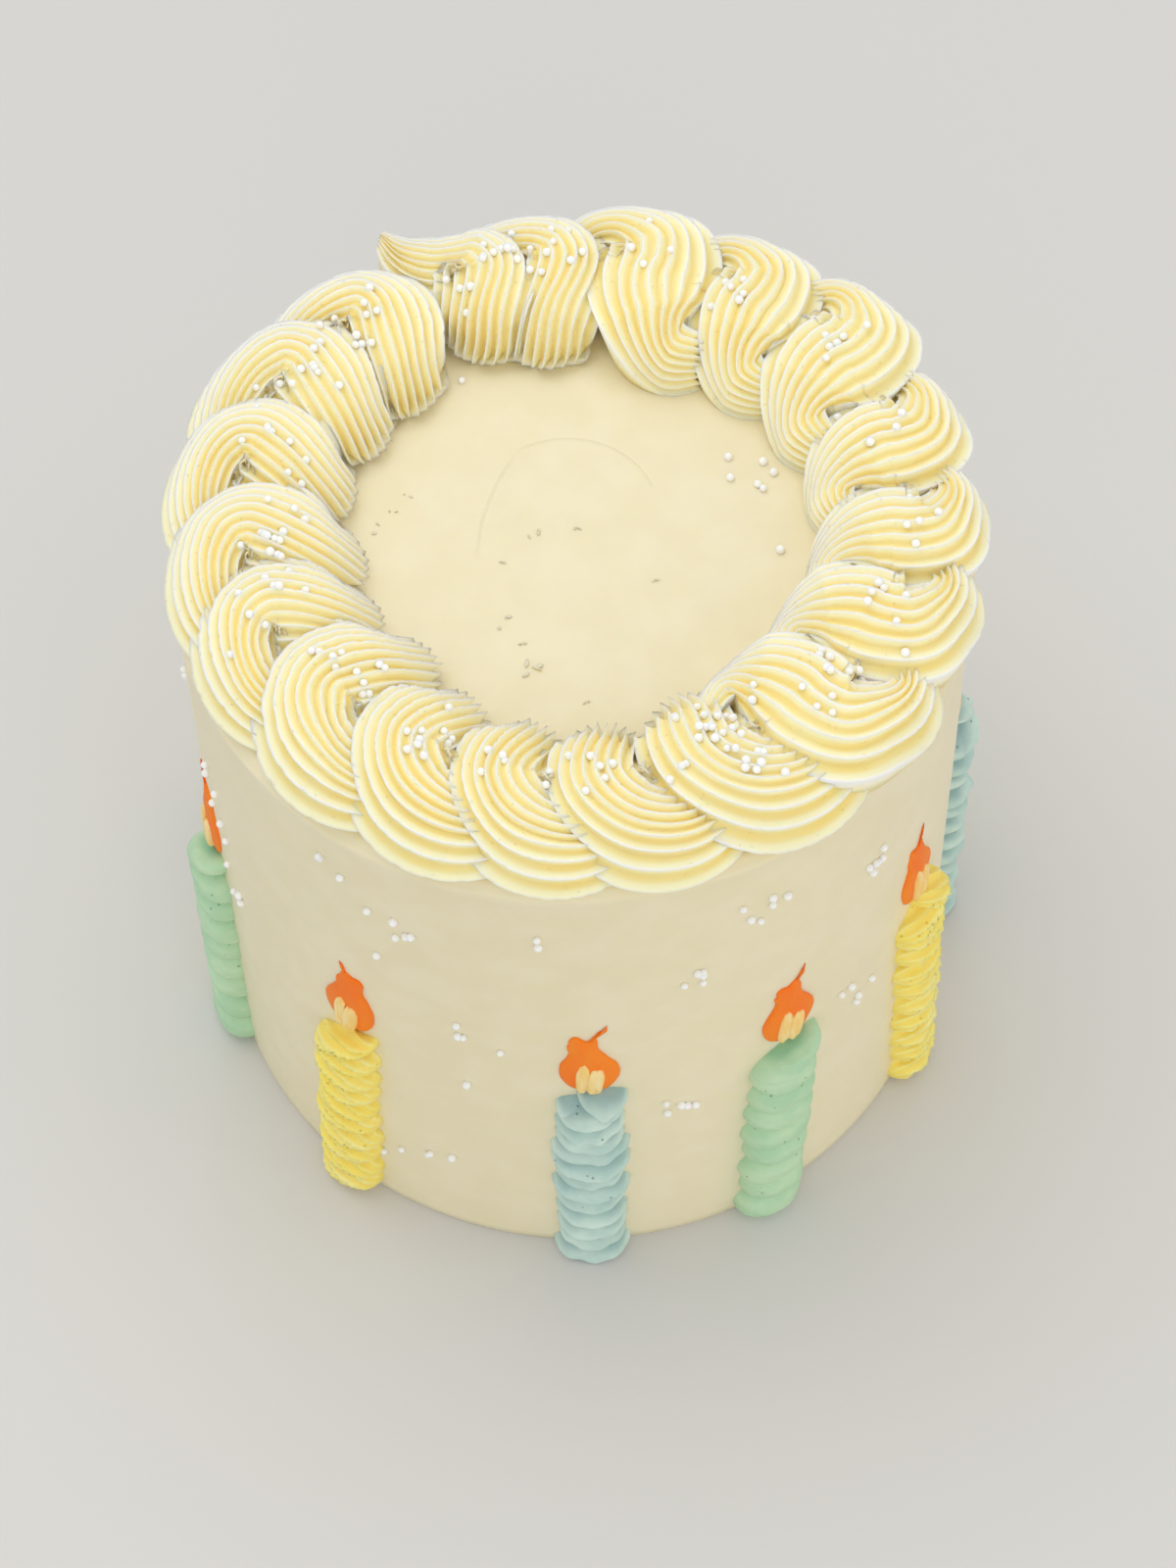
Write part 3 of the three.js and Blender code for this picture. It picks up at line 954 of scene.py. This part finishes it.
# %% A flattened drop of icing
# How wide a drop is from its foot to its tip, against a ball.
FLAME_OUTLINE = [1.2, 1.12, 1.08, 0.98, 0.72, 0.62, 1.3]
WISP_OUTLINE = [1.0, 1.0, 0.9, 0.8, 0.7, 0.6, 0.5]
HEART_OUTLINE = [1.1, 1.05, 0.95, 0.95, 1.0, 1.1, 1.2]


def dab(foot, width, height, thick, bend, outline, rng, lift=0.0, torn=0.05):
    """A flattened drop of icing, standing on foot and bent sideways towards its tip."""
    px, py, pz = points_of(DAB_BALL).T
    up = (pz + 1) / 2
    edge = 1 + 0.05 * wobble(up * 9, rng) + 2 * torn * up**4 * wobble(up * 26, rng)
    full = smooth_rows(np.array(outline)[:, None], up)[:, 0]
    x = foot[0] + width / 2 * px * full * edge + bend * up**2
    y = lift + thick * np.sign(py) * np.abs(py) ** 0.6
    y = y + 0.2 * wobble(px * 6 + up * 3, rng)
    z = foot[1] + height * up + torn * 14 * up**3 * wobble(px * 9 + 3, rng)
    return SimpleNamespace(ball=DAB_BALL, places=np.column_stack([x, y, z]), crest=up)


# %% [markdown]
# ## The finishes of a flame
# A knife leaves streaks along its path, so the colour and the bump are stretched. The
# orange smears are thin and opaque and scatter next to no light.

# %% Orange and pale yellow icing
def flame_paint(place):
    streak = place.noise(5, 3.0, 0.6, stretch=(1, 1, 0.4)).between(0.3, 0.75)
    return streak.mix(colour(255, 120, 0), colour(255, 140, 18))


def heart_paint(place):
    streak = place.noise(3, 3.0, 0.6, stretch=(2, 2, 0.5)).between(0.35, 0.7)
    return streak.mix(colour(252, 208, 118), colour(255, 232, 168))


def smear_relief(place):
    return place.noise(3, 3.0, 0.6, stretch=(2, 2, 0.5))


flame_icing = icing("orange_buttercream", flame_paint, smear_relief, bump_mm=0.3,
                    roughness=0.6, scatter=0.05, depth_mm=0.5)
heart_icing = icing("pale_yellow_buttercream", heart_paint, smear_relief, bump_mm=0.35,
                    roughness=0.4, scatter=0.15, depth_mm=1.0)

# %% [markdown]
# ## Twelve flames
# A flame is two smears, the second over the first, and a wisp at the tip. It bends to a
# side and by an amount that differ from candle to candle. The heart's two dabs stand a
# little proud of the orange.

# %% Flames and hearts
for number, (angle, height, lean) in enumerate(CANDLES, start=1):
    rng = np.random.default_rng(300 + number)
    foot = height - 0.5
    bend = rng.choice([-1, 1]) * rng.uniform(1, 2.5)
    flame = [
        dab((-1, foot), width=12, height=25, thick=1.2, bend=0.6 * bend,
            outline=FLAME_OUTLINE, rng=rng),
        dab((0.6, foot - 0.5), width=14.6, height=28, thick=1.5, bend=0.9 * bend,
            outline=FLAME_OUTLINE, rng=rng, torn=0.12),
        dab((0.6 * bend, foot + 17), width=1.6, height=15, thick=0.5, bend=-2.6 * bend,
            outline=WISP_OUTLINE, rng=rng, torn=0.2)]
    mesh = gathered(flame, f"flame_mesh_{number:02d}", angle, lean, height)
    add_piece(f"piped_flame_{number:02d}", mesh, flame_icing,
              [f"flame_{number:02d}"])
    heart = [
        dab((-1.7, foot + 0.8), width=3.6, height=14.5, thick=1.4, bend=0.6,
            outline=HEART_OUTLINE, rng=rng, lift=1.2),
        dab((1.3, foot + 0.4), width=4.8, height=12.5, thick=1.6, bend=0.9,
            outline=HEART_OUTLINE, rng=rng, lift=1.3)]
    mesh = gathered(heart, f"heart_mesh_{number:02d}", angle, lean, height)
    add_piece(f"piped_heart_{number:02d}", mesh, heart_icing,
              [f"flame_heart_{number:02d}"])
print(f"{len(CANDLES)} flames and hearts")

# %% [markdown]
# ## Sugar pearls
# White sugar pearls about two millimetres across were sprinkled on the border and pressed
# into the side in little groups. Each is dropped onto the icing by casting a ray at it, and
# sinks in by nearly a quarter of its width.

# %% Where the pearls lie
PEARL_RADIUS = 1.05
PEARL_PROUD = 0.55
# On the border: angle, radius, spread and count.
TOP_PEARLS = [(131, 76, 10, 12), (146, 76, 9, 9), (164, 76, 9, 9), (184, 72, 9, 14),
              (200, 76, 10, 10), (222, 68, 9, 12), (240, 72, 8, 10), (258, 72, 8, 6),
              (276, 74, 9, 6), (295, 72, 9, 22), (300, 84, 5, 8), (320, 78, 9, 13),
              (338, 82, 8, 8), (355, 82, 9, 5), (14, 78, 9, 4), (36, 80, 9, 7),
              (54, 76, 9, 6), (76, 78, 8, 4), (93, 78, 7, 9), (101, 80, 5, 10),
              (109, 76, 8, 6)]
# Alone on the flat top: angle and radius.
STRAY_PEARLS = [(34, 47), (27, 44), (27, 53), (23, 54), (21, 49), (19, 50), (-2, 51),
                (118, 58)]
STRAY_SPREAD = 0.4
# On the side: angle, height, spread and count.
SIDE_PEARLS = [(287, 140, 3.5, 5), (295, 164, 5, 6), (315, 86, 6, 5), (319, 147, 5, 6),
               (283.5, 75, 5, 5), (264, 166, 3, 2), (243, 159, 6, 5), (254.5, 114, 7, 4),
               (243.5, 41, 7, 4), (230.5, 172, 5, 3), (201, 140, 4, 3), (202, 127, 4, 3),
               (205, 99, 5, 4), (240, 140, 2, 1), (252.5, 85, 2, 1), (270, 22, 1, 1),
               (237.5, 25, 2, 1), (12, 150, 5, 4), (40, 120, 6, 5), (75, 155, 5, 5),
               (105, 90, 6, 4), (134, 150, 5, 5), (163, 110, 6, 4), (185, 155, 5, 4),
               (345, 60, 5, 3)]

# %% [markdown]
# ## Dropping the pearls
# A search tree of all the faces of the cake and its border finds where a ray meets the
# icing, and which way the icing faces there. Rays go straight down onto the top and
# straight in at the side. A ray that meets nothing leaves no pearl.

# %% Dropping pearls onto the icing
# How far outside the icing a ray starts.
DROP_HEIGHT = 60
SIDE_START = 40
# The scatter about a group's middle, against the group's spread.
TOP_SCATTER = 0.62
SIDE_SCATTER = 0.7


def icing_surface(pieces):
    bm = bmesh.new()
    for piece in pieces:
        bm.from_mesh(piece.data)
    tree = BVHTree.FromBMesh(bm)
    bm.free()
    return tree


surface = icing_surface([cake] + swirl_pieces)


def landed(start, way):
    """Where a pearl that comes from start comes to lie in the icing."""
    hit, normal, _, _ = surface.ray_cast(Vector(start) * MM, Vector(way))
    if hit is None:
        return None
    return hit / MM + normal * PEARL_RADIUS * PEARL_PROUD


def sprinkle():
    rng = np.random.default_rng(7)
    found = []
    strays = [(angle, radius, STRAY_SPREAD, 1) for angle, radius in STRAY_PEARLS]
    for angle, radius, spread, count in TOP_PEARLS + strays:
        x = radius * math.cos(math.radians(angle))
        y = radius * math.sin(math.radians(angle))
        for _ in range(count):
            dx, dy = rng.normal(0, spread * TOP_SCATTER, 2)
            found.append(landed((x + dx, y + dy, CAKE_TOP + DROP_HEIGHT), (0, 0, -1)))
    for angle, height, spread, count in SIDE_PEARLS:
        for _ in range(count):
            dx, dz = rng.normal(0, spread * SIDE_SCATTER, 2)
            turn = math.radians(angle) + dx / CAKE_RADIUS
            out = Vector((math.cos(turn), math.sin(turn), 0))
            start = out * (CAKE_RADIUS + SIDE_START) + Vector((0, 0, height + dz))
            found.append(landed(start, -out))
    return [place for place in found if place is not None]


# %% [markdown]
# ## Making the pearls
# There are nearly three hundred, so each has only a few dozen faces, and all are one
# piece. They are hard sugar: whiter and glossier than the icing, and not all one size.

# %% Pearls
def pearl_mesh(places):
    bm = bmesh.new()
    rng = np.random.default_rng(8)
    for place in places:
        spot = Matrix.Translation(Vector(place) * MM)
        size = PEARL_RADIUS * MM * rng.uniform(0.88, 1.12)
        bmesh.ops.create_icosphere(bm, subdivisions=2, radius=size, matrix=spot)
    return mesh_from(bm, "pearl_mesh")


def pearl_paint(place):
    return place.noise(4, 1.0).between(0.3, 0.7).mix(colour(250, 249, 244), colour(255, 255, 252))


def pearl_relief(place):
    return place.noise(0.5, 2.0)


pearl_sugar = icing("white_sugar_pearl", pearl_paint, pearl_relief, bump_mm=0.03,
                    roughness=0.22, scatter=0.2, depth_mm=0.8)
pearls = sprinkle()
add_piece("sugar_pearls", pearl_mesh(pearls), pearl_sugar)
print(f"{len(pearls)} pearls")

# %% [markdown]
# ## The studio
# The cake stands on a pale sheet of card under one wide soft light, with a fill from the
# front, so that the shadows are faint and the ridges still read. A weak, warm light from
# the right keeps the ivory from looking cold.

# %% Floor and lights
FLOOR_SIZE = 6  # metres


def plain_card():
    material = bpy.data.materials.new("plain_card")
    material.use_nodes = True
    tree = material.node_tree
    shader = tree.nodes["Principled BSDF"]
    shader.inputs["Roughness"].default_value = 0.9
    shader.inputs["Specular IOR Level"].default_value = 0.1
    shade = place_on(tree).noise(400, 0.0).between(0.2, 0.8)
    paint = shade.mix(colour(216, 214, 209), colour(220, 218, 213))
    tree.links.new(paint.socket, shader.inputs["Base Color"])
    return material


def floor_sheet():
    bm = bmesh.new()
    bmesh.ops.create_grid(bm, x_segments=1, y_segments=1, size=FLOOR_SIZE)
    mesh = mesh_from(bm, "floor_mesh")
    mesh.materials.append(plain_card())
    floor = bpy.data.objects.new("floor", mesh)
    scene.collection.objects.link(floor)


def soft_light(name, place, target, size, power, tint):
    lamp = bpy.data.lights.new(name, "AREA")
    lamp.shape = "RECTANGLE"
    lamp.size, lamp.size_y = size
    lamp.energy = power
    lamp.color = tint
    light = bpy.data.objects.new(name, lamp)
    light.location = place
    light.rotation_euler = (Vector(target) - Vector(place)).to_track_quat("-Z", "Y").to_euler()
    scene.collection.objects.link(light)
    print(f"light: {name}, {power} W")


floor_sheet()
soft_light("overhead", place=(-0.25, 0.35, 1.3), target=(0, 0, 0.1), size=(1.2, 1.0),
           power=5.2, tint=(1.0, 0.99, 0.97))
soft_light("front_fill", place=(0.1, -1.5, 0.7), target=(0, 0, 0.08), size=(1.6, 1.0),
           power=4.0, tint=(1.0, 0.99, 0.98))
soft_light("warm_side", place=(1.4, -0.4, 0.6), target=(0, 0, 0.08), size=(0.8, 0.8),
           power=2.0, tint=(1.0, 0.86, 0.7))
world = bpy.data.worlds.new("studio")
world.use_nodes = True
world.node_tree.nodes["Background"].inputs["Color"].default_value = (0.94, 0.96, 1.0, 1)
world.node_tree.nodes["Background"].inputs["Strength"].default_value = 0.75
scene.world = world
scene.view_settings.view_transform = "Standard"

# %% [markdown]
# ## The camera
# It looks down steeply from in front, as someone who stands at the table does.

# %% Camera
CAMERA_PLACE = (0.00235, -0.60002, 1.07289)
LOOK_DOWN = 58.961
ROLL = -1.298
SENSOR_HEIGHT = 36
LENS = 100.1853
camera_data = bpy.data.cameras.new("camera")
camera_data.sensor_fit = "VERTICAL"
camera_data.sensor_height = SENSOR_HEIGHT
camera_data.lens = LENS
camera = bpy.data.objects.new("camera", camera_data)
tilt = Matrix.Rotation(math.radians(90 - LOOK_DOWN), 4, "X")
camera.matrix_world = (Matrix.Translation(CAMERA_PLACE) @ tilt
                       @ Matrix.Rotation(math.radians(ROLL), 4, "Z"))
scene.collection.objects.link(camera)
scene.camera = camera
print(f"camera: {LENS:.0f} mm lens, {LOOK_DOWN:.0f} degrees down")

# %% [markdown]
# ## The last update
# The scene is brought up to date once more, so that every piece stands in its place.

# %% The last update
bpy.context.view_layer.update()
